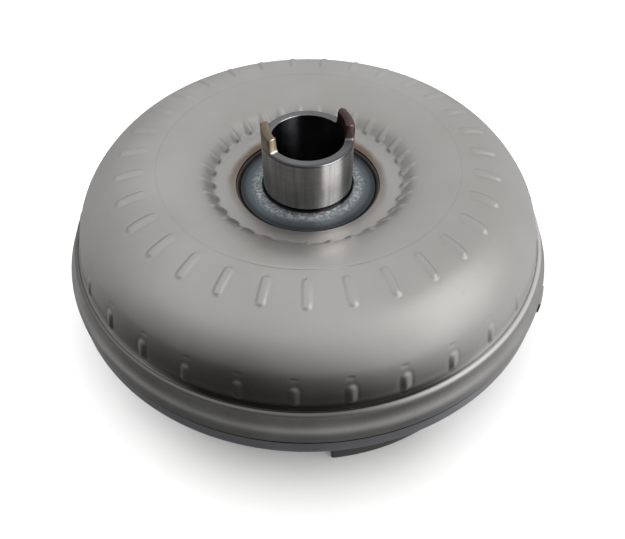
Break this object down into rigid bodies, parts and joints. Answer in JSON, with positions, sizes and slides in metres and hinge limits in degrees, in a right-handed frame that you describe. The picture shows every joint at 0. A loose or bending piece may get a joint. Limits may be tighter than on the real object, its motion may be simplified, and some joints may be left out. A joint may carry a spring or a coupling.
{
  "type": "torque converter",
  "caption": "Welded steel torque converter with a ribbed domed impeller shell, a drive hub with two tangs, a flanged rim, three drive lugs and working internals.",
  "frame": {"origin": "on the shaft axis, in the plane of the three drive lugs' flat faces, which the part stands on", "axes": "+Z along the shaft axis towards the drive hub; -Y is azimuth 0, the side seen in the main view, and +X is azimuth 90"},
  "size_m": [0.27, 0.27, 0.128],
  "materials": {
    "shell_steel": "satin",
    "cover_steel": "satin",
    "turned_steel": "turned",
    "weld_steel": "rough",
    "sheet_steel": "satin",
    "bearing_steel": "polished",
    "spring_steel": "satin",
    "cast_aluminium": "cast",
    "friction_paper": "matte",
    "seal_plastic": "matte"
  },
  "bodies": {
    "housing": {"front_cover": "cover_steel", "rim_ring": "cover_steel", "closing_weld": "weld_steel", "pilot_boss": "turned_steel", "drive_lug_1": "cover_steel", "drive_lug_2": "cover_steel", "drive_lug_3": "cover_steel", "balance_weight": "sheet_steel", "impeller_shell": "shell_steel", "hub_weld": "weld_steel", "impeller_hub": "turned_steel", "impeller_vane_ring": "sheet_steel", "hub_bearing_upper_race": "bearing_steel"},
    "hub_cage": {"hub_bearing_cage": "bearing_steel"},
    "race": {"stator_inner_race": "bearing_steel", "hub_bearing_lower_race": "bearing_steel", "turbine_bearing_upper_race": "bearing_steel"},
    "stator": {"stator_wheel": "cast_aluminium", "stator_cam_ring": "bearing_steel", "clutch_end_plate_lower": "sheet_steel", "clutch_end_plate_upper": "sheet_steel", "stator_snap_ring": "spring_steel", "clutch_roller_1": "bearing_steel", "clutch_roller_2": "bearing_steel", "clutch_roller_3": "bearing_steel", "clutch_roller_4": "bearing_steel", "clutch_roller_5": "bearing_steel", "clutch_roller_6": "bearing_steel", "clutch_roller_7": "bearing_steel", "clutch_roller_8": "bearing_steel", "clutch_spring_1": "spring_steel", "clutch_spring_2": "spring_steel", "clutch_spring_3": "spring_steel", "clutch_spring_4": "spring_steel", "clutch_spring_5": "spring_steel", "clutch_spring_6": "spring_steel", "clutch_spring_7": "spring_steel", "clutch_spring_8": "spring_steel"},
    "turbine_cage": {"turbine_bearing_cage": "bearing_steel"},
    "turbine": {"turbine_shell": "sheet_steel", "turbine_vane_ring": "sheet_steel", "turbine_hub": "turned_steel", "turbine_bearing_lower_race": "bearing_steel", "damper_driven_plate": "sheet_steel", "piston_seal": "seal_plastic", "cover_thrust_washer": "seal_plastic"},
    "damper": {"damper_retainer": "sheet_steel", "damper_spring_1": "spring_steel", "damper_spring_2": "spring_steel", "damper_spring_3": "spring_steel", "damper_spring_4": "spring_steel"},
    "piston": {"lockup_piston": "sheet_steel", "lockup_lining": "friction_paper"}
  },
  "joints": [
    {"name": "turbine_spin", "type": "hinge", "parent": "housing", "child": "turbine", "pos_m": [0, 0, 0.04], "axis": [0, 0, 1], "continuous": true},
    {"name": "race_spin", "type": "hinge", "parent": "housing", "child": "race", "pos_m": [0, 0, 0.063], "axis": [0, 0, 1], "continuous": true},
    {"name": "stator_freewheel", "type": "hinge", "parent": "race", "child": "stator", "pos_m": [0, 0, 0.063], "axis": [0, 0, 1], "continuous": true},
    {"name": "hub_cage_spin", "type": "hinge", "parent": "housing", "child": "hub_cage", "pos_m": [0, 0, 0.08], "axis": [0, 0, 1], "continuous": true},
    {"name": "turbine_cage_spin", "type": "hinge", "parent": "housing", "child": "turbine_cage", "pos_m": [0, 0, 0.0465], "axis": [0, 0, 1], "continuous": true},
    {"name": "damper_twist", "type": "hinge", "parent": "turbine", "child": "damper", "pos_m": [0, 0, 0.025], "axis": [0, 0, 1], "range_deg": [-8, 8], "stiffness_Nm_per_rad": 300},
    {"name": "piston_apply", "type": "slide", "parent": "damper", "child": "piston", "axis": [0, 0, -1], "range_m": [0, 0.0016]}
  ],
  "couplings": [
    {"joint": "hub_cage_spin", "follows": "race_spin", "ratio": 0.5},
    {"joint": "turbine_cage_spin", "follows": "turbine_spin", "ratio": 0.5}
  ]
}
